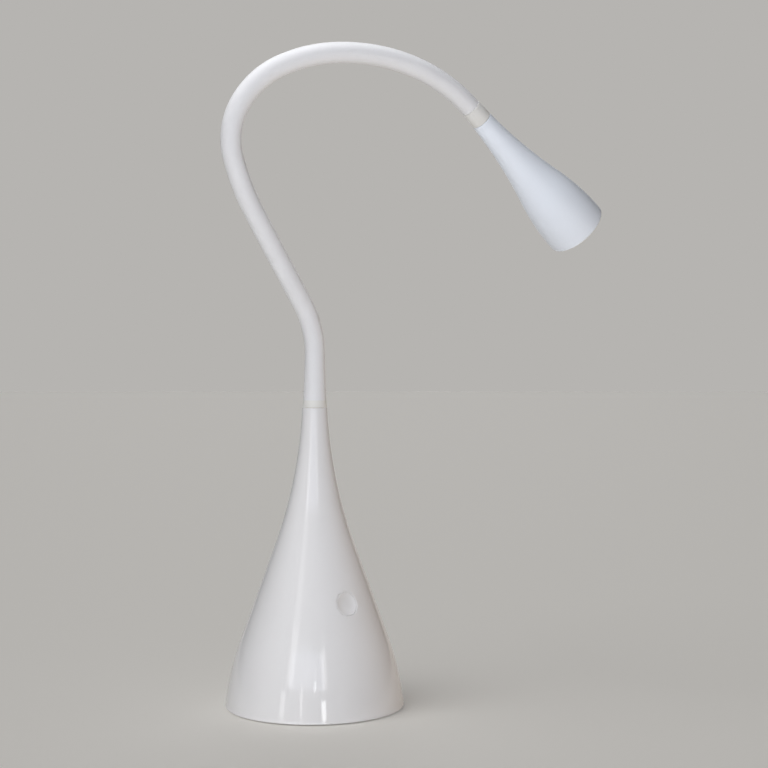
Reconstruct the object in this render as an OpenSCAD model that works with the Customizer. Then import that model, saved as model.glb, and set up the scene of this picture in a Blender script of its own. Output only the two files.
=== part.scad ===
// Gooseneck desk lamp: weighted trumpet base, silicone-sleeved gooseneck and LED head.
// Origin at the centre of the base on the resting plane, +Z up, push button on the -Y side.

/* [Base] */
// Radius of the shell at the resting plane
base_r = 60; // [55:1:70]
// Height of the shell
shell_h = 200; // [195:1:210]
// Wall thickness of the shell
shell_wall = 2.2; // [1.8:0.1:2.6]
// Lean of the side at the foot, in degrees
foot_lean = 6; // [4:1:8]
// Lean of the straight part of the side, in degrees
side_lean = 20; // [19:0.5:22]
// Height of the rounded foot
foot_h = 46; // [42:1:50]
// Radius of the shell at its tip
tip_r = 8.4; // [8.2:0.1:9]
// Lean of the side at the tip, in degrees
tip_lean = 2.6; // [2:0.1:4]
// Thickness of the solid tip that carries the neck
tip_t = 28; // [24:1:32]
// Gap between the shell's rim and the table
rim_gap = 0.8; // [0.4:0.1:1.2]
// Step inside the foot where the bottom cover fits
foot_step = 0.6; // [0.4:0.1:1]
// Distance from the foot's edge to the anti-slip pad's edge
pad_inset = 10; // [6:0.5:14]
// Thickness of the anti-slip pad
pad_t = 2; // [1.5:0.1:3]
// Thickness of the bottom cover
cover_t = 2.5; // [2:0.1:3]
// Distance from the foot's edge to the ballast disc's edge
ballast_inset = 7; // [6:0.5:10]
// Thickness of the ballast disc
ballast_t = 10; // [8:0.5:10]
// Distance from the foot's edge to a cover screw's centre
screw_inset = 16; // [15:0.5:19]
// Length of a cover screw's shank
screw_len = 20; // [16:1:24]
// Radius of a cover screw's shank
screw_r = 1.5; // [1.4:0.1:1.6]
// Radius of a cover screw's head
screw_head_r = 2.8; // [2.6:0.1:3]
// Thickness of a cover screw's head
screw_head_t = 1.6; // [1.2:0.1:1.8]

/* [Neck] */
// Length of one gooseneck section
section_len = 36; // [34:0.5:40]
// Outer radius of the silicone sleeve
sleeve_r = 6.7; // [6.5:0.1:7]
// Wall of the silicone sleeve
sleeve_wall = 1.2; // [0.9:0.1:1.3]
// Outer radius of the sleeve where it meets the base
sleeve_foot_r = 7.8; // [7.4:0.1:8]
// Mean radius of the steel coil
coil_r = 4.4; // [4.2:0.05:4.5]
// Wire diameter of the steel coil
wire_d = 1.6; // [1.4:0.1:1.7]
// Pitch of the steel coil
coil_pitch = 2.1; // [2:0.05:2.6]
// Radius of the lead inside the gooseneck
lead_r = 2.3; // [1.8:0.1:2.4]

/* [Fittings] */
// Length of the spigot in the coil at the base
base_spigot_len = 12; // [8:1:14]
// Length of the nipple's thread in the head
head_thread_len = 22; // [18:1:24]
// Thread radius of the brass nipples
nipple_r = 5; // [4.6:0.1:5.2]
// Radius of a nipple's flange
flange_r = 6.2; // [5.8:0.1:6.2]
// Thickness of a nipple's flange
flange_t = 3; // [2:0.1:3.5]
// Wall of a nipple's spigot inside the coil
spigot_wall = 0.8; // [0.6:0.1:0.9]
// Height of the ring on top of the shell
base_ring_h = 5; // [4:0.5:7]
// Length of the ring behind the head
head_ring_h = 12; // [10:0.5:14]

/* [Button] */
// Height of the button's centre above the table
button_z = 73; // [68:1:76]
// Radius of the button cap
button_r = 7.8; // [7.5:0.1:9]
// Travel of the button
button_travel = 0.8; // [0.5:0.1:0.8]
// Depth of the dish in the button
dish_depth = 1.1; // [0.6:0.1:1.3]
// Width of the control board
board_w = 32; // [30:1:34]
// Length of the control board
board_len = 46; // [44:1:48]
// Thickness of the boards
board_t = 1.6; // [1.2:0.1:2]

/* [Socket] */
// Height of the power socket above the table
jack_z = 26; // [25:0.5:30]
// Depth of the socket's seat under the shell's side
jack_inset = 2.7; // [2.4:0.1:3]
// Radius of the threaded barrel of the socket
jack_r = 4; // [3.8:0.1:4.5]
// Radius of the bore for the plug
jack_bore_r = 2.75; // [2.5:0.05:3]
// Radius of the centre pin
jack_pin_r = 1; // [0.8:0.05:1.2]

/* [Head] */
// Radius of the head at its narrow end
head_neck_r = 7.4; // [7.2:0.1:7.8]
// Lean of the head's side at the narrow end, in degrees
head_lean = 3; // [2:0.5:4]
// Steepest lean of the head's side, in degrees
flare_lean = 13.5; // [12.5:0.5:14.5]
// Length of the hollow part of the flare
flare_len = 66; // [62:1:70]
// Length of the full part of the flare
mouth_len = 43; // [40:1:46]
// Wall thickness of the head shell
head_wall = 2; // [1.6:0.1:2.4]
// Depth of the lens behind the rim
lens_recess = 2; // [1:0.5:3]
// Thickness of the lens
lens_t = 3; // [2:0.5:4]
// Room between the LED board and the lens
lens_room = 11; // [8:0.5:12]
// Thickness of the heat sink's plate
sink_t = 6; // [4:0.5:7]
// Length of the heat sink's fins
fin_len = 18; // [14:1:20]

/* [Hidden] */
// Bend of each gooseneck section at rest, and its turn about the neck before it, in degrees
section_bend = [0, -35, 0, 1, 13, 46, 35, 20, 15, 16, 17];
section_roll = [0, 7, -6, -6, -6, -5, -5, 5, 4, -1, 0];
sections = len(section_bend);
section_numbers = [for (k = [1:sections]) k];

$fn = 96;
eps = 0.01;
gap = 0.3; // running gap between neighbouring pieces
touch = 0.2; // gap between pieces of one body
thread_gap = 0.05; // round a thread or a wire's end
hole_gap = 0.1; // round a piece that passes through a hole
joint_gap = 0.02; // between the straight and the bent stretches of a wire
past = 20; // length that a cut runs past a wall
over = 1; // length that a piece or a cut is drawn past the cut that ends it
arc_steps = 12;

// Colours
white_gloss = [0.93, 0.93, 0.93];
white_silicone = [0.87, 0.87, 0.88];
white_satin = [0.86, 0.88, 0.91];
cream = [0.88, 0.87, 0.83];
steel = [0.65, 0.66, 0.68];
brass = [0.78, 0.65, 0.35];
board_green = [0.10, 0.38, 0.22];
black = [0.09, 0.09, 0.10];
lead_white = [0.90, 0.90, 0.90];

// ---- outline of the base ----
foot_arc_r = foot_h / (sin(side_lean) - sin(foot_lean));
side_r0 = base_r - foot_arc_r * (cos(foot_lean) - cos(side_lean));
// The throat's radius makes the straight part meet the tip at the shell's height
throat_rise = sin(side_lean) - sin(tip_lean);
throat_r = ((shell_h - foot_h) * tan(side_lean) - side_r0 + tip_r)
    / (throat_rise * tan(side_lean) - cos(tip_lean) + cos(side_lean));
side_z = shell_h - throat_r * throat_rise;
side_r1 = side_r0 - (side_z - foot_h) * tan(side_lean);
// Lean of the throat at a height, and of the foot
function throat_lean(z) = asin(sin(side_lean) - (z - side_z) / throat_r);
function foot_angle(z) = asin(sin(foot_lean) + z / foot_arc_r);
// Outer radius of the base at a height
function base_radius(z) =
    z < foot_h ? base_r - foot_arc_r * (cos(foot_lean) - cos(foot_angle(z)))
    : z < side_z ? side_r0 - (z - foot_h) * tan(side_lean)
    : side_r1 - throat_r * (cos(throat_lean(z)) - cos(side_lean));
// The outline, moved inwards by inset along its own normal, up to a height
function base_outline(inset, top) = concat(
    [for (i = [0:arc_steps]) let (a = foot_lean + (side_lean - foot_lean) * i / arc_steps)
        [base_r - foot_arc_r * (cos(foot_lean) - cos(a)) - inset * cos(a),
         foot_arc_r * (sin(a) - sin(foot_lean)) - inset * sin(a)]],
    [for (i = [0:arc_steps]) let (a = side_lean + (throat_lean(top) - side_lean) * i / arc_steps)
        [side_r1 - throat_r * (cos(a) - cos(side_lean)) - inset * cos(a),
         side_z + throat_r * (sin(side_lean) - sin(a)) - inset * sin(a)]]);

nut_seat_z = shell_h - tip_t; // underside of the solid tip, where the nut pulls
pad_r = base_r - pad_inset;
ballast_r = base_r - ballast_inset;
screw_circle_r = base_r - screw_inset;
cover_z = pad_t;
ballast_z = cover_z + cover_t;
boss_z = ballast_z + ballast_t;
boss_r = 4;
thread_depth = 0.25;
pilot_r = screw_r - thread_depth; // pilot hole, filled by the root of the screw's thread
pilot_spare = 4; // depth of a pilot hole beyond the screw
cover_seat_r = base_radius(0) - shell_wall - foot_step;

module base_solid(inset, top) {
    rotate_extrude($fn = 180)
        polygon(concat([[0, base_outline(inset, top)[0][1]]], base_outline(inset, top),
            [[0, base_outline(inset, top)[2 * arc_steps + 1][1]]]));
}

module around_cover_screws() {
    for (a = [0, 120, 240]) rotate([0, 0, a]) translate([screw_circle_r, 0, 0]) children();
}

// ---- button frame: origin on the surface, +Z outwards, +Y up the side ----
button_y = -(side_r0 - (button_z - foot_h) * tan(side_lean));
module at_button() {
    translate([0, button_y, button_z]) rotate([90 - side_lean, 0, 0]) children();
}
button_gap = 0.25;
cap_inset = 0.1; // depth of the cap's face under the shell's side
collar_wall = 2.2;
collar_end = -4.5; // inner end of the guide collar
cap_flange_w = 1.5;
cap_flange_r = button_r + cap_flange_w;
cap_flange_t = 1.3;
stem_r = 2;
stem_len = 1;
flange_top = collar_end - touch;
flange_end = flange_top - cap_flange_t;
end_gap = 0.1; // left above the switch at the end of the button's travel
plunger_top = flange_end - stem_len - button_travel - end_gap;
plunger_len = 1;
plunger_r = 1.7;
switch_w = 6;
switch_t = 3.5;
board_top = plunger_top - plunger_len - switch_t;
board_hole_x = 12;
board_hole_y = 19;
board_boss_r = 2.6;
board_screw_len = 6;
board_screw_r = 0.75;
board_screw_head_r = 1.8;
board_screw_head_t = 1.3;
module at_board_holes() {
    for (x = [-1, 1], y = [-1, 1]) translate([x * board_hole_x, y * board_hole_y, 0]) children();
}

// ---- socket frame: +Z outwards along +Y ----
jack_seat_y = base_radius(jack_z) - jack_inset;
jack_wall = 2;
jack_recess_r = 8;
jack_flange_r = 5.6;
jack_flange_t = 1.5;
jack_len = 12;
jack_end_t = 2;
jack_pin_depth = 0.5; // depth of the pin's end behind the seat
jack_tab_len = 4;
jack_tab_x = 1.8;
jack_tab_w = 2;
jack_tab_t = 0.6;
jack_nut_af = 11;
jack_nut_t = 2.5;
module at_jack() {
    translate([0, jack_seat_y, jack_z]) rotate([-90, 0, 0]) children();
}

module base_shell() {
    color(white_gloss)
    difference() {
        union() {
            difference() {
                base_solid(0, shell_h);
                intersection() {
                    base_solid(shell_wall, shell_h);
                    translate([0, 0, -eps]) cylinder(r = base_r, h = nut_seat_z + eps);
                }
                translate([0, 0, -shell_h]) cylinder(r = 2 * base_r, h = shell_h + rim_gap);
                cylinder(r = cover_seat_r, h = ballast_z);
            }
            intersection() {
                base_solid(shell_wall / 2, nut_seat_z);
                union() {
                    around_cover_screws() translate([0, 0, boss_z]) cylinder(r = boss_r, h = foot_h);
                    at_button() translate([0, 0, collar_end])
                        cylinder(r = button_r + button_gap + collar_wall, h = -collar_end);
                    at_button() at_board_holes() translate([0, 0, board_top])
                        cylinder(r = board_boss_r, h = -board_top);
                    at_jack() translate([0, 0, -jack_wall])
                        cylinder(r = jack_recess_r + jack_wall, h = jack_wall + jack_inset + shell_wall);
                }
            }
        }
        translate([0, 0, nut_seat_z - eps]) cylinder(r = nipple_r + hole_gap, h = tip_t + past);
        around_cover_screws() translate([0, 0, boss_z - eps])
            cylinder(r = pilot_r, h = cover_z + screw_head_t + screw_len - boss_z + pilot_spare);
        at_button() translate([0, 0, collar_end - shell_wall])
            cylinder(r = button_r + button_gap, h = shell_wall - collar_end + past);
        at_button() at_board_holes() translate([0, 0, board_top - eps])
            cylinder(r = board_screw_r + thread_gap, h = board_screw_len - board_t + gap);
        at_jack() cylinder(r = jack_recess_r, h = past);
        at_jack() translate([0, 0, -past / 2]) cylinder(r = jack_r + hole_gap, h = past);
    }
}

module base_cover() {
    color(black)
    difference() {
        translate([0, 0, cover_z]) cylinder(r = cover_seat_r - gap, h = cover_t, $fn = 180);
        around_cover_screws() {
            cylinder(r = screw_r + touch, h = ballast_z + eps);
            translate([0, 0, cover_z - eps]) cylinder(r = screw_head_r + touch, h = screw_head_t + eps);
        }
    }
}

module ballast() {
    color([0.25, 0.25, 0.27])
    difference() {
        translate([0, 0, ballast_z]) cylinder(r = ballast_r, h = ballast_t, $fn = 180);
        around_cover_screws() cylinder(r = screw_r + gap, h = boss_z + eps);
    }
}

module foot_pad() {
    color([0.16, 0.16, 0.17]) cylinder(r = pad_r, h = pad_t, $fn = 180);
}

module cover_screws() {
    color(steel)
    around_cover_screws() {
        translate([0, 0, cover_z + touch / 2]) cylinder(r = screw_head_r, h = screw_head_t - touch / 2);
        translate([0, 0, cover_z + screw_head_t]) cylinder(r = pilot_r - thread_gap, h = screw_len);
    }
}

// ---- button and board ----
dish_r = 0.9 * button_r;
dish_sphere_r = (dish_r * dish_r + dish_depth * dish_depth) / (2 * dish_depth);
cap_edge = button_r * button_r / (2 * -button_y); // fall of the round side across the cap
module button_cap() {
    color(white_gloss)
    difference() {
        union() {
            intersection() {
                at_button() translate([0, 0, flange_end]) cylinder(r = button_r, h = past);
                base_solid(cap_inset, shell_h);
            }
            at_button() translate([0, 0, flange_end]) cylinder(r = cap_flange_r, h = cap_flange_t);
            at_button() translate([0, 0, flange_end - stem_len]) cylinder(r = stem_r, h = stem_len + over);
        }
        at_button() translate([0, 0, dish_sphere_r - dish_depth - cap_edge / 2]) sphere(r = dish_sphere_r);
    }
}

spring_r = 6.2;
spring_wire_r = 0.4;
spring_turns = 4;
spring_sides = 8;
spring_steps = 24; // steps in one turn
spring_foot = board_top + spring_wire_r + thread_gap;
spring_end_gap = 0.15; // between the spring and the cap at the end of the travel
spring_head = flange_end - button_travel - spring_end_gap - spring_wire_r;
function spring_point(t, s) = let (turn = 360 * t / spring_steps, side = 360 * s / spring_sides,
        r = spring_r + spring_wire_r * cos(side))
    [r * cos(turn), r * sin(turn),
     spring_foot + (spring_head - spring_foot) * t / (spring_turns * spring_steps)
        + spring_wire_r * sin(side)];
module button_spring() {
    steps = spring_turns * spring_steps;
    points = [for (t = [0:steps], s = [0:spring_sides - 1]) spring_point(t, s)];
    walls = [for (t = [0:steps - 1], s = [0:spring_sides - 1]) let (n = (s + 1) % spring_sides)
        [t * spring_sides + s, t * spring_sides + n, (t + 1) * spring_sides + n,
         (t + 1) * spring_sides + s]];
    first = [for (s = [0:spring_sides - 1]) spring_sides - 1 - s];
    last = [for (s = [0:spring_sides - 1]) steps * spring_sides + s];
    color(steel) at_button()
        polyhedron(points = points, faces = concat(walls, [first, last]), convexity = 8);
}

module tact_switch() {
    color(black) at_button() {
        translate([-switch_w / 2, -switch_w / 2, board_top]) cube([switch_w, switch_w, switch_t]);
        translate([0, 0, board_top + switch_t]) cylinder(r = plunger_r, h = plunger_len);
    }
}

module control_board() {
    color(board_green) at_button()
    difference() {
        translate([-board_w / 2, -board_len / 2, board_top - board_t]) cube([board_w, board_len, board_t]);
        at_board_holes() translate([0, 0, board_top - board_t - eps])
            cylinder(r = board_screw_r + gap, h = board_t + 2 * eps);
    }
}

// Connectors and driver parts on the inner face of the board
connector_w = 10;
connector_l = 8;
connector_t = 6;
connector_inset = 11; // from the board's end to a connector's middle
connector_y = board_len / 2 - connector_inset;
choke_r = 4;
choke_t = 7;
coil_w = 10;
coil_t = 5;
coil_gap = 2; // from the board's middle to the coil and to the choke
chip_w = 3;
chip_l = 4;
chip_t = 1.6;
board_back = board_top - board_t;
module on_board_back(x, y, w, l, t) {
    translate([x - w / 2, y - l / 2, board_back - t]) cube([w, l, t]);
}
module board_components() {
    color([0.85, 0.85, 0.82]) at_button() {
        for (y = [-1, 1]) on_board_back(0, y * connector_y, connector_w, connector_l, connector_t);
        translate([choke_r + coil_gap, 0, board_back - choke_t]) cylinder(r = choke_r, h = choke_t);
        on_board_back(-coil_w / 2 - coil_gap, 0, coil_w, coil_w, coil_t);
        on_board_back(0, 0, chip_w, chip_l, chip_t);
    }
}

module board_screws() {
    color(steel) at_button() at_board_holes() {
        translate([0, 0, board_back - board_screw_head_t])
            cylinder(r = board_screw_head_r, h = board_screw_head_t);
        translate([0, 0, board_back]) cylinder(r = board_screw_r, h = board_screw_len);
    }
}

// A round rod that starts at the origin along +Z and bends towards +X
module elbow(r, bend_r, turn) {
    translate([bend_r, 0, 0]) rotate([90, 0, 180])
        rotate_extrude(angle = turn) translate([bend_r, 0]) circle(r = r);
}

// ---- power socket ----
module dc_jack() {
    color(black) at_jack() {
        difference() {
            union() {
                cylinder(r = jack_flange_r, h = jack_flange_t);
                translate([0, 0, -jack_len]) cylinder(r = jack_r, h = jack_len);
            }
            translate([0, 0, -jack_len + jack_end_t])
                cylinder(r = jack_bore_r, h = jack_len + jack_flange_t);
        }
        translate([0, 0, -jack_len + jack_end_t / 2])
            cylinder(r = jack_pin_r, h = jack_len - jack_end_t - jack_pin_depth);
        for (x = [-1, 1])
            translate([x * jack_tab_x - jack_tab_t / 2, -jack_tab_w / 2, -jack_len - jack_tab_len])
            cube([jack_tab_t, jack_tab_w, jack_tab_len + jack_end_t / 2]);
    }
}

module jack_nut() {
    color(steel) at_jack() translate([0, 0, -jack_wall - jack_nut_t])
    difference() {
        cylinder(r = jack_nut_af / 2 / cos(30), h = jack_nut_t, $fn = 6);
        translate([0, 0, -eps]) cylinder(r = jack_r + thread_gap, h = jack_nut_t + 2 * eps);
    }
}

// Two wires: level from the socket, then up into the lower connector of the board
wire_r = 0.8;
wire_bend_r = 10;
wire_y0 = jack_seat_y - jack_len - jack_tab_len - hole_gap;
wire_turn = 90 + side_lean;
wire_depth = board_back - connector_t / 2; // along the button's axis
wire_end_y = button_y - (connector_y + connector_l / 2) * sin(side_lean) - wire_depth * cos(side_lean);
wire_end_z = button_z - (connector_y + connector_l / 2) * cos(side_lean) + wire_depth * sin(side_lean);
wire_rise = wire_bend_r * (1 - cos(wire_turn));
wire_last = (wire_end_z - jack_z - wire_rise) / cos(side_lean);
wire_turn_y = wire_end_y - wire_last * sin(side_lean) + wire_bend_r * sin(wire_turn);
module power_leads() {
    for (x = [-1, 1]) color(x < 0 ? [0.7, 0.1, 0.1] : black)
    translate([x * jack_tab_x, 0, jack_z]) {
        translate([0, wire_turn_y + joint_gap, 0]) rotate([-90, 0, 0])
            cylinder(r = wire_r, h = wire_y0 - wire_turn_y - joint_gap);
        translate([0, wire_turn_y, 0]) rotate([90, -90, 0]) elbow(wire_r, wire_bend_r, wire_turn);
        translate([0, wire_end_y - wire_last * sin(side_lean), wire_rise]) rotate([-side_lean, 0, 0])
            translate([0, 0, joint_gap]) cylinder(r = wire_r, h = wire_last - thread_gap - joint_gap);
    }
}

// ---- gooseneck ----
sleeve_in_r = sleeve_r - sleeve_wall;
ball_r = 8; // each section ends inside a ball about the next joint ...
socket_r = ball_r + gap; // ... and the next one starts outside this one
coil_in_r = coil_r - wire_d / 2;
spigot_r = coil_in_r - touch;
bore_r = spigot_r - spigot_wall;
coil_start = sqrt(pow(socket_r + wire_d / 2, 2) - coil_r * coil_r);
coil_over = sqrt(pow(ball_r - wire_d / 2, 2) - coil_r * coil_r);
head_flange_z = head_ring_h - flange_t;

// A point s along a section that bends by angle a, with its tangent as +Z
module along(a, s) {
    turn = a * s / section_len;
    rho = a == 0 ? 0 : section_len / (a * PI / 180);
    translate(a == 0 ? [0, 0, s] : [rho * (1 - cos(turn)), 0, rho * sin(turn)])
        rotate([0, turn, 0]) children();
}

// The frame at the start of section k
module at_section(k) {
    if (k == 1) translate([0, 0, shell_h]) rotate([0, 0, section_roll[0]]) children();
    else at_section(k - 1) along(section_bend[k - 2], section_len)
        rotate([0, 0, section_roll[k - 1]]) children();
}

module at_head() {
    at_section(sections) along(section_bend[sections - 1], section_len) children();
}

// A round rod that follows a section's bend
module bent_rod(a, r, length) {
    if (a == 0) cylinder(r = r, h = length);
    else mirror([a < 0 ? 1 : 0, 0, 0])
        elbow(r, section_len / (abs(a) * PI / 180), abs(a) * length / section_len);
}

// Cuts a section at the joints: a round end inside the next joint's ball, a hollow start
// outside the ball of the joint before
module section_ends(k) {
    at_section(k) difference() {
        children();
        if (k > 1) sphere(r = socket_r);
        if (k < sections) along(section_bend[k - 1], section_len) difference() {
            translate([-2 * ball_r, -2 * ball_r, 0]) cube(4 * ball_r);
            sphere(r = ball_r);
        }
    }
}

// Length over which a section's tube is drawn before its end is cut round
function section_reach(k) = k == sections ? section_len : section_len + ball_r + over;

module gooseneck_sleeve(k) {
    color(white_silicone) section_ends(k)
    if (k == 1) {
        rotate_extrude() polygon([[sleeve_in_r, base_ring_h], [sleeve_foot_r, base_ring_h],
            [sleeve_r, section_len], [sleeve_r, section_reach(k)], [sleeve_in_r, section_reach(k)]]);
    } else {
        difference() {
            bent_rod(section_bend[k - 1], sleeve_r, section_reach(k));
            bent_rod(section_bend[k - 1], sleeve_in_r, section_reach(k) + eps);
        }
    }
}

module gooseneck_coil(k) {
    first = k == 1 ? flange_t + wire_d / 2 + touch : coil_start + touch;
    last = section_len - touch + (k == sections ? head_flange_z - wire_d / 2 : coil_over);
    color(steel) at_section(k)
    for (s = [first:coil_pitch:last]) along(section_bend[k - 1], k < sections ? s : min(s, section_len))
        translate([0, 0, k < sections ? 0 : max(s - section_len, 0)])
            rotate_extrude($fn = 48) translate([coil_r, 0]) circle(r = wire_d / 2, $fn = 24);
}

// The lead runs from the board through the base nipple and the neck to the LED board
lead_bend_r = 40;
lead_turn_len = lead_bend_r * tan(side_lean / 2);
lead_end_y = button_y + (connector_y + connector_l / 2) * sin(side_lean) - wire_depth * cos(side_lean);
lead_end_z = button_z + (connector_y + connector_l / 2) * cos(side_lean) + wire_depth * sin(side_lean);
lead_knee_z = lead_end_z - lead_end_y / tan(side_lean);
lead_last = -lead_end_y / sin(side_lean) - lead_turn_len;
module lamp_lead(k) {
    color(lead_white) {
        section_ends(k) bent_rod(section_bend[k - 1], lead_r, section_reach(k));
        if (k == 1) {
            translate([0, 0, lead_knee_z + lead_turn_len + joint_gap])
                cylinder(r = lead_r, h = shell_h - lead_knee_z - lead_turn_len - 2 * joint_gap);
            translate([0, 0, lead_knee_z + lead_turn_len]) rotate([180, 0, -90])
                elbow(lead_r, lead_bend_r, side_lean);
            translate([0, lead_end_y, lead_end_z]) rotate([-side_lean, 0, 0])
                translate([0, 0, thread_gap]) cylinder(r = lead_r, h = lead_last - thread_gap - joint_gap);
        }
        if (k == sections) at_head() translate([0, 0, joint_gap])
            cylinder(r = lead_r, h = led_board_z - touch - joint_gap);
    }
}

// ---- fittings at the ends of the neck ----
washer_t = 1.5;
washer_r = 7.7;
nut_t = 5;
nut_af = 13;
nipple_spare = 5.5; // thread below the nut
nipple_len = tip_t + washer_t + nut_t + nipple_spare;
module base_nipple() {
    color(brass)
    difference() {
        union() {
            translate([0, 0, shell_h - nipple_len]) cylinder(r = nipple_r, h = nipple_len + eps);
            translate([0, 0, shell_h]) cylinder(r = flange_r, h = flange_t);
            translate([0, 0, shell_h + flange_t - eps]) cylinder(r = spigot_r, h = base_spigot_len);
        }
        translate([0, 0, shell_h - nipple_len - past])
            cylinder(r = bore_r, h = nipple_len + section_len + past);
    }
}
module base_washer() {
    color(steel) translate([0, 0, nut_seat_z - washer_t]) difference() {
        cylinder(r = washer_r, h = washer_t);
        translate([0, 0, -eps]) cylinder(r = nipple_r + hole_gap, h = washer_t + 2 * eps);
    }
}
module base_nut() {
    color(brass) translate([0, 0, nut_seat_z - washer_t - nut_t]) difference() {
        cylinder(r = nut_af / 2 / cos(30), h = nut_t, $fn = 6);
        translate([0, 0, -eps]) cylinder(r = nipple_r + thread_gap, h = nut_t + 2 * eps);
    }
}
module base_ferrule() {
    color(cream) translate([0, 0, shell_h]) rotate_extrude()
        polygon([[flange_r + touch, 0], [tip_r, 0], [sleeve_foot_r, base_ring_h],
            [flange_r + touch, base_ring_h]]);
}
module head_ferrule() {
    color(cream) at_head() rotate_extrude()
        polygon([[flange_r + touch, 0], [sleeve_r + touch, 0], [head_neck_r, head_ring_h],
            [flange_r + touch, head_ring_h]]);
}
head_spigot_in = 4; // reach of the spigot into the bent part of the coil
module head_nipple() {
    color(brass) at_head()
    difference() {
        union() {
            translate([0, 0, -head_spigot_in])
                cylinder(r = spigot_r, h = head_flange_z + head_spigot_in + eps);
            translate([0, 0, head_flange_z]) cylinder(r = flange_r, h = flange_t);
            translate([0, 0, head_ring_h - eps]) cylinder(r = nipple_r, h = head_thread_len);
        }
        translate([0, 0, -head_spigot_in - over])
            cylinder(r = bore_r, h = head_thread_len + head_ring_h + head_spigot_in + 2 * over);
    }
}

// ---- head ----
rim_r = head_wall; // the rim is rounded over the whole wall
flare_arc_r = flare_len / (sin(flare_lean) - sin(head_lean));
flare_z = head_ring_h + flare_len;
flare_r = head_neck_r + flare_arc_r * (cos(head_lean) - cos(flare_lean));
mouth_arc_r = mouth_len / sin(flare_lean);
mouth_r = flare_r + mouth_arc_r * (1 - cos(flare_lean));
rim_z = flare_z + mouth_len;
head_len = rim_z + rim_r;
function head_radius(z) = z < flare_z
    ? head_neck_r + flare_arc_r
        * (cos(head_lean) - cos(asin(sin(head_lean) + (z - head_ring_h) / flare_arc_r)))
    : flare_r + mouth_arc_r * (sqrt(1 - pow(sin(flare_lean) - min(z - flare_z, mouth_len) / mouth_arc_r, 2))
        - cos(flare_lean));
function head_outline(inset) = concat(
    [for (i = [0:arc_steps]) let (a = head_lean + (flare_lean - head_lean) * i / arc_steps)
        [head_neck_r + flare_arc_r * (cos(head_lean) - cos(a)) - inset * cos(a),
         head_ring_h + flare_arc_r * (sin(a) - sin(head_lean)) + inset * sin(a)]],
    [for (i = [1:arc_steps]) let (a = flare_lean * (1 - i / arc_steps))
        [flare_r + mouth_arc_r * (cos(a) - cos(flare_lean)) - inset * cos(a),
         flare_z + mouth_arc_r * (sin(flare_lean) - sin(a)) + inset * sin(a)]]);
cavity_z = head_ring_h + head_thread_len + over;
module head_shell() {
    color(white_satin) at_head()
    difference() {
        union() {
            rotate_extrude() polygon(concat([[0, head_ring_h]], head_outline(0), [[0, rim_z]]));
            translate([0, 0, rim_z]) rotate_extrude() translate([mouth_r - rim_r, 0])
                intersection() { circle(r = rim_r); square(rim_r + over); }
            translate([0, 0, rim_z - eps]) cylinder(r = mouth_r - rim_r, h = rim_r + eps);
        }
        intersection() {
            rotate_extrude() polygon(concat([[0, head_ring_h]], head_outline(head_wall), [[0, rim_z]]));
            translate([0, 0, cavity_z]) cylinder(r = mouth_r, h = head_len);
        }
        translate([0, 0, rim_z - eps]) cylinder(r = mouth_r - head_wall, h = rim_r + past);
        cylinder(r = nipple_r + thread_gap, h = cavity_z + over);
    }
}

lens_lip = 1.2; // width of the ring's lip over the lens
lens_lip_t = 0.5;
lens_front = head_len - lens_recess;
lens_back = lens_front - lens_lip_t - lens_t;
led_board_z = lens_back - lens_room;
sink_gap = 0.4; // between the shell's wall and the pieces in it
led_board_r = head_radius(led_board_z) - head_wall - 4 * sink_gap;
sink_z = led_board_z - sink_t;
sink_r = head_radius(sink_z) - head_wall - sink_gap;
fins = 12;
fin_t = 1.2;
sink_core_r = 5;
fin_r = head_radius(sink_z - fin_len) - head_wall - 3 * sink_gap;
led_screw_circle_r = 7;
led_screw_r = 1.25;
led_screw_len = 3.5;
module at_led_screws() {
    for (a = [0, 120, 240]) rotate([0, 0, a]) translate([led_screw_circle_r, 0, 0]) children();
}
module heat_sink() {
    color([0.75, 0.76, 0.78]) at_head()
    difference() {
        union() {
            translate([0, 0, sink_z]) cylinder(r = sink_r, h = sink_t);
            translate([0, 0, sink_z - fin_len]) cylinder(r = sink_core_r, h = fin_len + eps);
            for (i = [0:fins - 1]) rotate([0, 0, 360 * i / fins])
                translate([sink_core_r - fin_t, -fin_t / 2, sink_z - fin_len])
                    cube([fin_r - sink_core_r + fin_t, fin_t, fin_len + eps]);
        }
        translate([0, 0, sink_z - fin_len - over])
            cylinder(r = lead_r + sink_gap, h = fin_len + sink_t + 2 * over);
        at_led_screws() translate([0, 0, led_board_z - led_screw_len - over / 2])
            cylinder(r = led_screw_r + thread_gap, h = led_screw_len + over);
    }
}
module led_board() {
    color([0.9, 0.9, 0.88]) at_head()
    difference() {
        translate([0, 0, led_board_z]) cylinder(r = led_board_r, h = board_t);
        at_led_screws() translate([0, 0, led_board_z - eps])
            cylinder(r = led_screw_r + gap, h = board_t + 2 * eps);
    }
}
emitters = 12;
emitter_w = 3;
emitter_t = 0.8;
emitter_ring_r = 12.5;
module led_emitters() {
    color([0.95, 0.85, 0.45]) at_head()
    for (i = [0:emitters - 1]) rotate([0, 0, 360 * i / emitters])
        translate([emitter_ring_r - emitter_w / 2, -emitter_w / 2, led_board_z + board_t])
            cube([emitter_w, emitter_w, emitter_t]);
}
module led_board_screws() {
    color(steel) at_head() at_led_screws() {
        translate([0, 0, led_board_z + board_t]) cylinder(r = 2 * led_screw_r, h = led_screw_r);
        translate([0, 0, led_board_z - led_screw_len])
            cylinder(r = led_screw_r, h = board_t + led_screw_len);
    }
}
bezel_wall = 2;
lens_r = mouth_r - head_wall - touch - bezel_wall;
module lens() {
    color([0.96, 0.95, 0.92]) at_head() translate([0, 0, lens_back]) cylinder(r = lens_r, h = lens_t);
}
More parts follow.
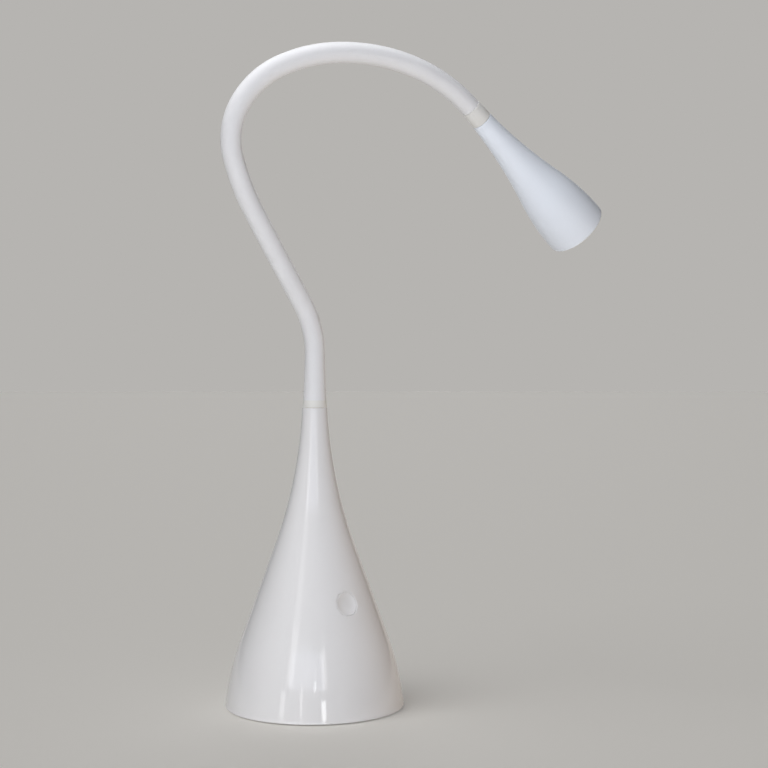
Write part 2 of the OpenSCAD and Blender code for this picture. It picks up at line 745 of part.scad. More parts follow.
// White ring that stands on the LED board and holds the lens
bezel_foot = led_board_z + board_t;
bezel_r = head_radius(led_board_z) - head_wall - sink_gap;
module lens_bezel() {
    color(white_satin) at_head() rotate_extrude()
        polygon([[bezel_r, bezel_foot], [bezel_r, lens_back], [mouth_r - head_wall - touch, lens_back],
            [mouth_r - head_wall - touch, lens_front], [lens_r - lens_lip, lens_front],
            [lens_r - lens_lip, lens_back + lens_t], [lens_r + touch / 2, lens_back + lens_t],
            [lens_r + touch / 2, lens_back], [lens_r - lens_lip, lens_back],
            [led_board_r - lens_lip, bezel_foot]]);
}

base_shell();
base_cover();
ballast();
foot_pad();
cover_screws();
button_cap();
button_spring();
tact_switch();
control_board();
board_components();
board_screws();
dc_jack();
jack_nut();
power_leads();
base_nipple();
base_washer();
base_nut();
base_ferrule();
head_ferrule();
head_nipple();
head_shell();
heat_sink();
led_board();
led_emitters();
led_board_screws();
lens();
lens_bezel();
for (k = section_numbers) {
    gooseneck_sleeve(k);
    gooseneck_coil(k);
    lamp_lead(k);
}
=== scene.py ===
import math
import bmesh
import bpy
from mathutils import Matrix, Vector


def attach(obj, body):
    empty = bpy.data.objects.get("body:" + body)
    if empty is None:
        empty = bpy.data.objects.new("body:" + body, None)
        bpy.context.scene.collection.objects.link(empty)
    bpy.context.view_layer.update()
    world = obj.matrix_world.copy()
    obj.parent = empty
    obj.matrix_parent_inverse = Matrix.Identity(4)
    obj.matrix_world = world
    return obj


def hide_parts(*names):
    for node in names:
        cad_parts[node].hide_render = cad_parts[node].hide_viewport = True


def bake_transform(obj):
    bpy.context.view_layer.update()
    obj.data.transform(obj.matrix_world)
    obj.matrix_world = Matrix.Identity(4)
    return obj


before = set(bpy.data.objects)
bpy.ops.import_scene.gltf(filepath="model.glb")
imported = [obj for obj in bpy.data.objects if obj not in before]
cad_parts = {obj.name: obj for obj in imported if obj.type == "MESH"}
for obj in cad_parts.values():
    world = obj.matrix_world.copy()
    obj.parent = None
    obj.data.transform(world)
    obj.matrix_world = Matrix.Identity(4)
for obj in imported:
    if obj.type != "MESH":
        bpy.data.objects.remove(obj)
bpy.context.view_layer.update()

# ---- Camera ----
# Level, at half the lamp's height, looking along azimuth -35 degrees of the row frame.
# It stands a little to the right of the lamp, which puts the head inside the frame.
VIEW_AZIMUTH = math.radians(-35)
VIEW_DISTANCE = 0.960
VIEW_SIDE = 0.04655
VIEW_HEIGHT = 0.216
LENS_MM = 66.89

to_right = Vector((math.cos(VIEW_AZIMUTH), math.sin(VIEW_AZIMUTH), 0))
away = Vector((-math.sin(VIEW_AZIMUTH), math.cos(VIEW_AZIMUTH), 0))
camera = bpy.data.objects.new("camera", bpy.data.cameras.new("camera"))
bpy.context.scene.collection.objects.link(camera)
camera.data.lens = LENS_MM
camera.data.sensor_width = 36
camera.data.clip_start = 0.01
camera.location = to_right * VIEW_SIDE - away * VIEW_DISTANCE + Vector((0, 0, VIEW_HEIGHT))
camera.rotation_euler = (math.radians(90), 0, VIEW_AZIMUTH)
bpy.context.scene.camera = camera
bpy.context.scene.view_settings.view_transform = "Standard"

# ---- Base shell ----
# The trumpet-shaped body: white ABS, injection moulded in a polished tool, so it is glossy.
# One turned wall with a solid tip for the neck, a round hole for the button and one for the socket.
BASE_RADIUS = 0.060
SHELL_HEIGHT = 0.200
SHELL_WALL = 0.0022
RIM_GAP = 0.0008
FOOT_LEAN = math.radians(6)
SIDE_LEAN = math.radians(20)
FOOT_HEIGHT = 0.046
TIP_RADIUS = 0.0084
TIP_LEAN = math.radians(2.6)
TIP_UNDERSIDE = 0.172
RIM_ROUND = 0.0007
COVER_STEP = 0.0006
COVER_STEP_HEIGHT = 0.0045
NIPPLE_HOLE_RADIUS = 0.0051
TIP_CHAMFER = 0.0002
TURNS = 240

foot_arc = FOOT_HEIGHT / (math.sin(SIDE_LEAN) - math.sin(FOOT_LEAN))
side_r0 = BASE_RADIUS - foot_arc * (math.cos(FOOT_LEAN) - math.cos(SIDE_LEAN))
throat_rise = math.sin(SIDE_LEAN) - math.sin(TIP_LEAN)
throat_radius = ((SHELL_HEIGHT - FOOT_HEIGHT) * math.tan(SIDE_LEAN) - side_r0 + TIP_RADIUS) / (
    throat_rise * math.tan(SIDE_LEAN) - math.cos(TIP_LEAN) + math.cos(SIDE_LEAN))
side_top = SHELL_HEIGHT - throat_radius * throat_rise
side_r1 = side_r0 - (side_top - FOOT_HEIGHT) * math.tan(SIDE_LEAN)


def base_radius(z):
    """Radius of the base's outer side at a height."""
    if z < FOOT_HEIGHT:
        lean = math.asin(math.sin(FOOT_LEAN) + z / foot_arc)
        return BASE_RADIUS - foot_arc * (math.cos(FOOT_LEAN) - math.cos(lean))
    if z < side_top:
        return side_r0 - (z - FOOT_HEIGHT) * math.tan(SIDE_LEAN)
    lean = math.asin(math.sin(SIDE_LEAN) - (z - side_top) / throat_radius)
    return side_r1 - throat_radius * (math.cos(lean) - math.cos(SIDE_LEAN))


def new_piece(name, bm, sharp=math.radians(35)):
    """Turns a bmesh into an object at the origin, smooth but for the edges sharper than an angle."""
    bmesh.ops.remove_doubles(bm, verts=bm.verts, dist=1e-6)
    bmesh.ops.recalc_face_normals(bm, faces=bm.faces)
    for face in bm.faces:
        face.smooth = True
    for edge in bm.edges:
        edge.smooth = len(edge.link_faces) == 2 and edge.calc_face_angle(0) < sharp
    mesh = bpy.data.meshes.new(name)
    bm.to_mesh(mesh)
    bm.free()
    piece = bpy.data.objects.new(name, mesh)
    bpy.context.scene.collection.objects.link(piece)
    return piece


def turned(bm, outline, steps, place=Matrix.Identity(4)):
    """Spins an outline of (radius, height) points once round the Z axis and puts it in its place."""
    verts = [bm.verts.new((r, 0, z)) for r, z in outline]
    edges = [bm.edges.new(pair) for pair in zip(verts, verts[1:])]
    if outline[0][0] > 0 and outline[-1][0] > 0 and outline[0] != outline[-1]:
        edges.append(bm.edges.new((verts[-1], verts[0])))
    before = set(bm.verts) - set(verts)
    bmesh.ops.spin(bm, geom=verts + edges, cent=(0, 0, 0), axis=(0, 0, 1), dvec=(0, 0, 0),
                   angle=math.tau, steps=steps, use_merge=True, use_duplicate=False)
    made = [v for v in bm.verts if v not in before]
    bmesh.ops.remove_doubles(bm, verts=made, dist=1e-7)
    bmesh.ops.transform(bm, matrix=place, verts=[v for v in bm.verts if v not in before])


def arc(centre, radius, first, last, steps):
    """Points on an arc about (radius, height), angles in degrees from the outward direction."""
    angles = [math.radians(first + (last - first) * i / steps) for i in range(steps + 1)]
    return [(centre[0] + radius * math.cos(a), centre[1] + radius * math.sin(a)) for a in angles]


def spaced(first, last, steps):
    """Evenly spaced values from the first to the last."""
    return [first + (last - first) * i / steps for i in range(steps + 1)]


def linear(sheet_colour):
    """An sRGB hex colour as the linear RGBA that a shader takes."""
    parts = [int(sheet_colour[i:i + 2], 16) / 255 for i in (0, 2, 4)]
    return [c / 12.92 if c <= 0.04045 else ((c + 0.055) / 1.055) ** 2.4 for c in parts] + [1]


def add(material, kind, settings, links=()):
    """Adds a node with settings by name, and links (socket of this node, other node, its output)."""
    node = material.node_tree.nodes.new(kind)
    for key, value in settings.items():
        if hasattr(node, key):
            setattr(node, key, value)
        else:
            node.inputs[key].default_value = value
    for socket, other, output in links:
        material.node_tree.links.new(other.outputs[output], node.inputs[socket])
    return node


def finish(name, **shader):
    """A material and its Principled shader, whose sockets are set by name."""
    material = bpy.data.materials.new(name)
    material.use_nodes = True
    surface = material.node_tree.nodes["Principled BSDF"]
    for key, value in shader.items():
        surface.inputs[key.replace("_", " ")].default_value = value
    return material, surface


# Injection-moulded gloss ABS: a hard clear highlight. The mould's polish leaves a faint orange
# peel 6 mm across, and handling leaves a haze that dulls the gloss in soft patches.
abs_gloss, surface = finish("moulded gloss ABS", Base_Color=linear("EBEAEB"), Roughness=0.08, IOR=1.54)
place = add(abs_gloss, "ShaderNodeTexCoord", {})
peel = add(abs_gloss, "ShaderNodeTexNoise", {"Scale": 160, "Detail": 2, "Roughness": 0.5},
           [("Vector", place, "Object")])
bump = add(abs_gloss, "ShaderNodeBump", {"Strength": 0.05, "Distance": 0.0006}, [("Height", peel, "Fac")])
haze = add(abs_gloss, "ShaderNodeTexNoise", {"Scale": 24, "Detail": 4, "Roughness": 0.6},
           [("Vector", place, "Object")])
haze_range = add(abs_gloss, "ShaderNodeMapRange",
                 {"From Min": 0.35, "From Max": 0.75, "To Min": 0.04, "To Max": 0.08},
                 [("Value", haze, "Fac")])
abs_gloss.node_tree.links.new(haze_range.outputs["Result"], surface.inputs["Roughness"])
abs_gloss.node_tree.links.new(bump.outputs["Normal"], surface.inputs["Normal"])

foot_heights = spaced(RIM_GAP + RIM_ROUND, FOOT_HEIGHT, 30)
side_heights = spaced(FOOT_HEIGHT, side_top, 40)[1:]
throat_heights = spaced(side_top, SHELL_HEIGHT - 2.5 * TIP_CHAMFER, 60)[1:]
outer = [(base_radius(z), z) for z in foot_heights + side_heights + throat_heights]
rim_centre = base_radius(RIM_GAP) - RIM_ROUND
inner_foot = base_radius(0) - SHELL_WALL - COVER_STEP
outline = (
    [(inner_foot, COVER_STEP_HEIGHT), (inner_foot, RIM_GAP), (rim_centre, RIM_GAP)]
    + arc((rim_centre, RIM_GAP + RIM_ROUND), RIM_ROUND, -80, -10, 4) + outer
    + [(TIP_RADIUS - TIP_CHAMFER, SHELL_HEIGHT)]
    + [(NIPPLE_HOLE_RADIUS, SHELL_HEIGHT), (NIPPLE_HOLE_RADIUS, TIP_UNDERSIDE)]
    + [(base_radius(z) - SHELL_WALL, z) for z in spaced(TIP_UNDERSIDE, COVER_STEP_HEIGHT, 24)]
)
bm = bmesh.new()
turned(bm, outline, TURNS)
base_shell = new_piece("base_shell_moulding", bm)

BUTTON_HEIGHT = 0.073
BUTTON_RADIUS = 0.0078
BUTTON_GAP = 0.00006
BUTTON_HOLE_DEPTH = 0.0048
button_y = -base_radius(BUTTON_HEIGHT)
button_frame = Matrix.Translation((0, button_y, BUTTON_HEIGHT)) @ Matrix.Rotation(
    math.radians(90) - SIDE_LEAN, 4, "X")
JACK_HEIGHT = 0.026
JACK_RECESS_RADIUS = 0.008
JACK_RECESS_DEPTH = 0.0027
CUT_PAST = 0.004
jack_y = base_radius(JACK_HEIGHT) - JACK_RECESS_DEPTH
jack_frame = Matrix.Translation((0, jack_y, JACK_HEIGHT)) @ Matrix.Rotation(math.radians(-90), 4, "X")


def apply_modifiers(piece):
    """Writes a piece's modifiers into its mesh."""
    bpy.context.view_layer.update()
    shape = bpy.data.meshes.new_from_object(piece.evaluated_get(bpy.context.evaluated_depsgraph_get()))
    piece.modifiers.clear()
    old, piece.data = piece.data, shape
    bpy.data.meshes.remove(old)


def cut(piece, cutter):
    """Takes one closed shape out of another."""
    modifier = piece.modifiers.new("cut", "BOOLEAN")
    modifier.operation = "DIFFERENCE"
    modifier.solver = "EXACT"
    modifier.object = cutter
    apply_modifiers(piece)
    bpy.data.objects.remove(cutter)


# The guide collar behind the hole and the wall behind the socket's recess are inside the shell.
hole = BUTTON_RADIUS + BUTTON_GAP
bm = bmesh.new()
turned(bm, [(0, -BUTTON_HOLE_DEPTH), (hole, -BUTTON_HOLE_DEPTH), (hole, CUT_PAST), (0, CUT_PAST)],
       96, button_frame)
cut(base_shell, new_piece("button_hole", bm))
recess_length = JACK_RECESS_RADIUS + JACK_RECESS_DEPTH + CUT_PAST
bm = bmesh.new()
turned(bm, [(0, 0), (JACK_RECESS_RADIUS, 0), (JACK_RECESS_RADIUS, recess_length), (0, recess_length)],
       96, jack_frame)
cut(base_shell, new_piece("socket_recess", bm))
base_shell.data.materials.append(abs_gloss)
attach(base_shell, "base")
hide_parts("base_shell")

# ---- Button ----
# The push cap: the same gloss ABS, dished for a finger, with its lip flush with the round side.
# A flange inside the shell's guide collar keeps it in, and a stem meets the switch.
DISH_DEPTH = 0.0016
LIP_WIDTH = 0.0004
CAP_ROUND = 0.00025
CAP_SET_BACK = 0.0001
LIP_DEPTH = 0.002
FLANGE_WIDTH = 0.0015
FLANGE_TOP = 0.0047
FLANGE_UNDERSIDE = 0.0060
STEM_RADIUS = 0.002
STEM_END = 0.0070

dish = spaced(0, BUTTON_RADIUS - LIP_WIDTH - CAP_ROUND, 24)
outline = [(r, -DISH_DEPTH * (1 - (r / dish[-1]) ** 3) ** 1.2) for r in dish]
outline += arc((BUTTON_RADIUS - CAP_ROUND, -CAP_ROUND), CAP_ROUND, 90, 0, 5)
flange_radius = BUTTON_RADIUS + FLANGE_WIDTH
outline += [(BUTTON_RADIUS, -LIP_DEPTH), (BUTTON_RADIUS, -FLANGE_TOP),
            (flange_radius, -FLANGE_TOP), (flange_radius, -FLANGE_UNDERSIDE),
            (STEM_RADIUS, -FLANGE_UNDERSIDE), (STEM_RADIUS, -STEM_END), (0, -STEM_END)]
bm = bmesh.new()
turned(bm, outline, 96)
for vert in bm.verts:
    if vert.co.z >= -1.1 * LIP_DEPTH:
        vert.co.z -= vert.co.x ** 2 / (2 * -button_y) + CAP_SET_BACK
bmesh.ops.transform(bm, matrix=button_frame, verts=bm.verts)
button_cap = new_piece("button_cap_moulding", bm)
button_cap.data.materials.append(abs_gloss)
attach(button_cap, "button")
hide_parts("button_cap")


# ---- Bottom cover, pad and ballast ----
# A black ABS cover with three screws closes the foot and holds a cast-iron disc against the bosses.
# An EVA foam pad is glued under it; they show only from below and as a dark line at the table.
def dress(material, *names):
    """Gives the CAD nodes of these names one material."""
    for name in names:
        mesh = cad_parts[name].data
        mesh.materials.clear()
        mesh.materials.append(material)


def grained(name, scale, depth, spread, **shader):
    """A material with a fine grain: bump of a size (1 / metre) and depth, and a spread of roughness."""
    material, surface = finish(name, **shader)
    place = add(material, "ShaderNodeTexCoord", {})
    grain = add(material, "ShaderNodeTexNoise", {"Scale": scale, "Detail": 3, "Roughness": 0.6},
                [("Vector", place, "Object")])
    bump = add(material, "ShaderNodeBump", {"Strength": 0.6, "Distance": depth},
               [("Height", grain, "Fac")])
    level = shader["Roughness"]
    rough = add(material, "ShaderNodeMapRange", {"From Min": 0.3, "From Max": 0.7,
                                                 "To Min": level - spread, "To Max": level + spread},
                [("Value", grain, "Fac")])
    material.node_tree.links.new(rough.outputs["Result"], surface.inputs["Roughness"])
    material.node_tree.links.new(bump.outputs["Normal"], surface.inputs["Normal"])
    return material


# Spark-eroded ABS has a grain of 0.5 mm that breaks up the highlight.
cover_abs = grained("spark-eroded black ABS", 2000, 0.00008, 0.08, Base_Color=linear("1C1C1E"),
                    Roughness=0.5, IOR=1.54)
# Closed-cell EVA is matt, with a slightly uneven skin 1 mm across.
pad_foam = grained("closed-cell black EVA", 1000, 0.0001, 0.08, Base_Color=linear("26262A"),
                   Roughness=0.75, IOR=1.52)
# Cast iron keeps a dull grey skin from the sand.
cast_iron = grained("sand-cast iron", 700, 0.00004, 0.1, Base_Color=linear("8C8F94"), Metallic=1,
                    Roughness=0.42)
# Zinc plating is bright, with faint clouds.
zinc_plate = grained("zinc-plated steel", 900, 0.00002, 0.08, Base_Color=linear("BFC3C7"), Metallic=1,
                     Roughness=0.26)
dress(cover_abs, "base_cover")
dress(pad_foam, "foot_pad")
dress(cast_iron, "ballast")
dress(zinc_plate, "cover_screws")

# ---- Power socket ----
# A black nylon barrel socket in the flat recess at the back, held by a plated nut inside.
# Two thin PVC wires lead to the board.
socket_nylon = grained("moulded black nylon", 2500, 0.00004, 0.08, Base_Color=linear("19191B"),
                       Roughness=0.38, IOR=1.53)
wire_pvc = grained("black PVC wire cover", 3000, 0.00002, 0.06, Base_Color=linear("202022"),
                   Roughness=0.4, IOR=1.53)
dress(socket_nylon, "dc_jack")
dress(zinc_plate, "jack_nut")
dress(wire_pvc, "power_leads")

# ---- Switch and control board ----
# Behind the button: a solder-masked board on four bosses with the switch, connectors and driver parts.
# They are inside the closed shell.
board_mask = grained("green solder mask", 1800, 0.00001, 0.06, Base_Color=linear("1B5B37"),
                     Roughness=0.3, IOR=1.55)
housing_nylon = grained("natural nylon", 2500, 0.00003, 0.06, Base_Color=linear("E2DFD3"),
                        Roughness=0.42, IOR=1.53)
spring_steel = grained("drawn spring steel", 3000, 0.00001, 0.06, Base_Color=linear("A9ADB2"), Metallic=1,
                       Roughness=0.3)
dress(board_mask, "control_board")
dress(housing_nylon, "board_components")
dress(socket_nylon, "tact_switch")
dress(zinc_plate, "board_screws")
dress(spring_steel, "button_spring")

# ---- Neck fittings and rings ----
# Brass nipples clamp the coil to the shell and to the head. A cream TPU ring covers each flange:
# a short one on the base's tip, a longer one behind the head.
EDGE_ROUND = 0.00025
SEAM_ROUND = 0.00005
SEAM_GAP = 0.0001
BASE_RING_HEIGHT = 0.005
SLEEVE_FOOT_RADIUS = 0.0078
RING_BORE = 0.0064
HEAD_RING_LENGTH = 0.012
RING_STEP = 0.0002
HEAD_NECK_RADIUS = 0.0074
SLEEVE_RADIUS = 0.0067
SECTION_LENGTH = 0.036
SECTION_BEND = [math.radians(a) for a in (0, -35, 0, 1, 13, 46, 35, 20, 15, 16, 17)]
SECTION_TURN = [math.radians(a) for a in (0, 7, -6, -6, -6, -5, -5, 5, 4, -1, 0)]


def along(bend, distance):
    """From a section's start to a point of its bent centre line."""
    turn = bend * distance / SECTION_LENGTH
    if bend == 0:
        return Matrix.Translation((0, 0, distance))
    radius = SECTION_LENGTH / bend
    place = Matrix.Translation((radius * (1 - math.cos(turn)), 0, radius * math.sin(turn)))
    return place @ Matrix.Rotation(turn, 4, "Y")


section_frames = []
place_now = Matrix.Translation((0, 0, SHELL_HEIGHT))
for bend, turn in zip(SECTION_BEND, SECTION_TURN):
    place_now = place_now @ Matrix.Rotation(turn, 4, "Z")
    section_frames.append(place_now)
    place_now = place_now @ along(bend, SECTION_LENGTH)
head_frame = place_now

# Natural TPU is faintly cream beside the white pieces; a satin tool finish, grain 0.6 mm.
ring_tpu = grained("moulded cream TPU", 1600, 0.00003, 0.05, Base_Color=linear("E9E8E5"), Roughness=0.34,
                   IOR=1.5)
turned_brass = grained("turned brass", 1200, 0.00001, 0.06, Base_Color=linear("C9A558"), Metallic=1,
                       Roughness=0.28)
bm = bmesh.new()
turned(bm, [(RING_BORE, SEAM_GAP)]
       + arc((TIP_RADIUS - SEAM_GAP - EDGE_ROUND, SEAM_GAP + EDGE_ROUND), EDGE_ROUND, -90, 0, 4)
       + arc((SLEEVE_FOOT_RADIUS - SEAM_ROUND, BASE_RING_HEIGHT - SEAM_ROUND), SEAM_ROUND, 0, 90, 4)
       + [(RING_BORE, BASE_RING_HEIGHT)], 128, Matrix.Translation((0, 0, SHELL_HEIGHT)))
base_ring = new_piece("base_ring_moulding", bm)
base_ring.data.materials.append(ring_tpu)
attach(base_ring, "base")
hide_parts("base_ferrule")

bm = bmesh.new()
ring_end = HEAD_RING_LENGTH - SEAM_GAP
turned(bm, [(RING_BORE, SEAM_GAP)]
       + arc((SLEEVE_RADIUS + RING_STEP - EDGE_ROUND, SEAM_GAP + EDGE_ROUND), EDGE_ROUND, -90, 0, 4)
       + arc((HEAD_NECK_RADIUS - EDGE_ROUND, ring_end - EDGE_ROUND), EDGE_ROUND, 0, 90, 4)
       + [(RING_BORE, ring_end)], 128, head_frame)
head_ring = new_piece("head_ring_moulding", bm)
head_ring.data.materials.append(ring_tpu)
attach(head_ring, "head")
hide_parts("head_ferrule")
dress(turned_brass, "base_nipple", "base_nut", "head_nipple")
dress(zinc_plate, "base_washer")

# ---- Gooseneck ----
# A coil of spring steel under a white silicone sleeve, with the lamp's lead in the middle.
# The sleeve is cut at the middle of each section, so each piece spans one joint.
SLEEVE_WALL = 0.0012
ROUND_STEPS = 96
BEND_STEPS = 14

# Extruded silicone: a soft broad sheen. Handling leaves slightly darker areas 20 mm across, and
# fine dust clings to it in specks of 0.4 mm.
silicone, surface = finish("extruded white silicone", Base_Color=linear("ECECEE"),
                           Roughness=0.46, IOR=1.41)
place = add(silicone, "ShaderNodeTexCoord", {})
dust = add(silicone, "ShaderNodeTexNoise", {"Scale": 2400, "Detail": 2, "Roughness": 0.7},
           [("Vector", place, "Object")])
specks = add(silicone, "ShaderNodeMapRange", {"From Min": 0.62, "From Max": 0.75},
             [("Value", dust, "Fac")])
handling = add(silicone, "ShaderNodeTexNoise", {"Scale": 45, "Detail": 3, "Roughness": 0.55},
               [("Vector", place, "Object")])
tone = add(silicone, "ShaderNodeMix", {"data_type": "RGBA"}, [("Factor", handling, "Fac")])
tone.inputs["A"].default_value = linear("EFEFF1")
tone.inputs["B"].default_value = linear("E8E8EB")
dusty = add(silicone, "ShaderNodeMix", {"data_type": "RGBA"}, [("Factor", specks, "Result")])
silicone.node_tree.links.new(tone.outputs["Result"], dusty.inputs["A"])
dusty.inputs["B"].default_value = linear("DAD8D4")
silicone.node_tree.links.new(dusty.outputs["Result"], surface.inputs["Base Color"])
bump = add(silicone, "ShaderNodeBump", {"Strength": 0.35, "Distance": 0.00006}, [("Height", dust, "Fac")])
silicone.node_tree.links.new(bump.outputs["Normal"], surface.inputs["Normal"])


def swept(bm, geom, frame_at, bend, length):
    """Carries a ring of faces along a part of a bent section and returns the ring at its end."""
    if bend == 0:
        step = frame_at.to_3x3() @ Vector((0, 0, length / BEND_STEPS))
        spun = bmesh.ops.spin(bm, geom=geom, cent=frame_at.translation, axis=(0, 0, 1), dvec=step,
                              angle=0, steps=BEND_STEPS, use_merge=False, use_duplicate=False)
    else:
        centre = frame_at @ Vector((SECTION_LENGTH / bend, 0, 0))
        spun = bmesh.ops.spin(bm, geom=geom, cent=centre, axis=frame_at.to_3x3() @ Vector((0, 1, 0)),
                              dvec=(0, 0, 0), angle=bend * length / SECTION_LENGTH, steps=BEND_STEPS,
                              use_merge=False, use_duplicate=False)
    return spun["geom_last"]


def sleeve_ring(bm, frame_at):
    """A flat ring of faces, as thick as the sleeve's wall, across the centre line."""
    rings = [bmesh.ops.create_circle(bm, cap_ends=False, segments=ROUND_STEPS, radius=radius,
                                     matrix=frame_at)["verts"]
             for radius in (SLEEVE_RADIUS, SLEEVE_RADIUS - SLEEVE_WALL)]
    edges = [e for e in bm.edges if all(v in rings[0] or v in rings[1] for v in e.verts)]
    faces = bmesh.ops.bridge_loops(bm, edges=edges)["faces"]
    return faces + edges + rings[0] + rings[1] + list({e for f in faces for e in f.edges} - set(edges))


def flare(bm):
    """Widens the sleeve's foot towards the ring on the base."""
    foot = SHELL_HEIGHT + BASE_RING_HEIGHT
    for vert in bm.verts:
        left = (SHELL_HEIGHT + SECTION_LENGTH - vert.co.z) / (SECTION_LENGTH - BASE_RING_HEIGHT)
        if left > 0 and vert.co.xy.length > SLEEVE_RADIUS - SLEEVE_WALL / 2:
            wide = (SLEEVE_FOOT_RADIUS - SLEEVE_RADIUS) * (0.5 * left + 0.5 * left ** 2)
            vert.co.xy *= 1 + wide / SLEEVE_RADIUS


def sleeve_piece(name, runs):
    """One piece of the sleeve over (section, from, to) runs of the centre line."""
    bm = bmesh.new()
    number, start, _ = runs[0]
    ring = sleeve_ring(bm, section_frames[number] @ along(SECTION_BEND[number], start))
    for number, start, end in runs:
        at = section_frames[number] @ along(SECTION_BEND[number], start)
        ring = swept(bm, ring, at, SECTION_BEND[number], end - start)
    if runs[0][0] == 0:
        flare(bm)
    piece = new_piece(name, bm)
    piece.data.materials.append(silicone)
    return piece


half = SECTION_LENGTH / 2
last = len(SECTION_BEND) - 1
foot_piece = sleeve_piece("sleeve_foot", [(0, BASE_RING_HEIGHT, half)])
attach(foot_piece, "base")
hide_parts("gooseneck_sleeve_1")
end_piece = sleeve_piece("sleeve_end", [(last, half, SECTION_LENGTH)])
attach(end_piece, "head")
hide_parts("gooseneck_sleeve_11")
for k in range(last):
    piece = sleeve_piece(f"sleeve_{k + 1}", [(k, half, SECTION_LENGTH), (k + 1, 0, half)])
    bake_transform(piece)
    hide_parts(f"gooseneck_sleeve_{k + 1}", f"gooseneck_sleeve_{k + 2}")

lead_pvc = grained("white PVC lead cover", 3000, 0.00002, 0.06, Base_Color=linear("DCDCDA"),
                   Roughness=0.42, IOR=1.53)
dress(spring_steel, *[f"gooseneck_coil_{k}" for k in range(1, last + 2)])
dress(lead_pvc, *[f"lamp_lead_{k}" for k in range(1, last + 2)])

# ---- Head shell ----
# The flared head: white ABS, moulded with a solid neck that takes the nipple, and lacquered satin.
# The rim is rounded over the whole wall.
HEAD_LEAN = math.radians(3)
FLARE_LEAN = math.radians(13.5)
FLARE_LENGTH = 0.066
MOUTH_LENGTH = 0.043
HEAD_WALL = 0.002
CAVITY_START = 0.035
THREAD_BORE = 0.0051

flare_arc = FLARE_LENGTH / (math.sin(FLARE_LEAN) - math.sin(HEAD_LEAN))
flare_end = HEAD_RING_LENGTH + FLARE_LENGTH
flare_radius = HEAD_NECK_RADIUS + flare_arc * (math.cos(HEAD_LEAN) - math.cos(FLARE_LEAN))
mouth_arc = MOUTH_LENGTH / math.sin(FLARE_LEAN)
mouth_radius = flare_radius + mouth_arc * (1 - math.cos(FLARE_LEAN))
rim_start = flare_end + MOUTH_LENGTH


def head_radius(z):
    """Radius of the head's outer side at a distance from the end of the neck."""
    if z < flare_end:
        lean = math.asin(math.sin(HEAD_LEAN) + (z - HEAD_RING_LENGTH) / flare_arc)
        return HEAD_NECK_RADIUS + flare_arc * (math.cos(HEAD_LEAN) - math.cos(lean))
    lean = math.asin(math.sin(FLARE_LEAN) - min(z - flare_end, MOUTH_LENGTH) / mouth_arc)
    return flare_radius + mouth_arc * (math.cos(lean) - math.cos(FLARE_LEAN))


# Satin lacquer over ABS: a soft highlight, a fine lacquer peel 1.5 mm across, and a cool white.
# Handling changes its sheen a little in patches 25 mm across.
lacquer, surface = finish("satin white lacquer on ABS", Base_Color=linear("E4E9F1"),
                          Roughness=0.3, IOR=1.5)
place = add(lacquer, "ShaderNodeTexCoord", {})
peel = add(lacquer, "ShaderNodeTexNoise", {"Scale": 650, "Detail": 2, "Roughness": 0.5},
           [("Vector", place, "Object")])
bump = add(lacquer, "ShaderNodeBump", {"Strength": 0.05, "Distance": 0.0001}, [("Height", peel, "Fac")])
haze = add(lacquer, "ShaderNodeTexNoise", {"Scale": 40, "Detail": 1, "Roughness": 0.5},
           [("Vector", place, "Object")])
haze_range = add(lacquer, "ShaderNodeMapRange",
                 {"From Min": 0.35, "From Max": 0.7, "To Min": 0.28, "To Max": 0.34},
                 [("Value", haze, "Fac")])
lacquer.node_tree.links.new(haze_range.outputs["Result"], surface.inputs["Roughness"])
lacquer.node_tree.links.new(bump.outputs["Normal"], surface.inputs["Normal"])

shell_start = HEAD_RING_LENGTH + SEAM_GAP
outline = ([(THREAD_BORE, shell_start)]
           + arc((HEAD_NECK_RADIUS - EDGE_ROUND, shell_start + EDGE_ROUND), EDGE_ROUND, -90, 0, 4)
           + [(head_radius(z), z) for z in spaced(HEAD_RING_LENGTH + 2 * EDGE_ROUND, rim_start, 70)]
           + arc((mouth_radius - HEAD_WALL / 2, rim_start), HEAD_WALL / 2, 0, 180, 12)[1:-1]
           + [(head_radius(z) - HEAD_WALL, z) for z in spaced(rim_start, CAVITY_START, 24)]
           + [(THREAD_BORE, CAVITY_START)])
bm = bmesh.new()
turned(bm, outline, 160, head_frame)
head_shell = new_piece("head_shell_moulding", bm)
head_shell.data.materials.append(lacquer)
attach(head_shell, "head")
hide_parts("head_shell")

# ---- Light in the head ----
# An opal acrylic lens in a white ring closes the mouth. Behind it a white board with twelve
# emitters lies on a finned aluminium sink.
opal, surface = finish("opal acrylic", Base_Color=linear("F0EEE8"), Roughness=0.38, IOR=1.49,
                       Subsurface_Weight=0.5, Subsurface_Scale=0.004)
place = add(opal, "ShaderNodeTexCoord", {})
frosting = add(opal, "ShaderNodeTexNoise", {"Scale": 3000, "Detail": 2, "Roughness": 0.6},
               [("Vector", place, "Object")])
bump = add(opal, "ShaderNodeBump", {"Strength": 0.3, "Distance": 0.00003}, [("Height", frosting, "Fac")])
opal.node_tree.links.new(bump.outputs["Normal"], surface.inputs["Normal"])
ring_white = grained("spark-eroded white ABS", 2000, 0.00005, 0.06, Base_Color=linear("DADCDF"),
                     Roughness=0.42, IOR=1.54)
board_white = grained("white solder mask", 1800, 0.00001, 0.05, Base_Color=linear("DEDED9"),
                      Roughness=0.32, IOR=1.55)
phosphor = grained("phosphor in clear resin", 3000, 0.00001, 0.04, Base_Color=linear("E6C95A"),
                   Roughness=0.25, IOR=1.41)
sink_aluminium = grained("die-cast aluminium", 900, 0.00004, 0.08, Base_Color=linear("B9BCC0"),
                         Metallic=1, Roughness=0.44)
dress(opal, "lens")
dress(ring_white, "lens_bezel")
dress(board_white, "led_board")
dress(phosphor, "led_emitters")
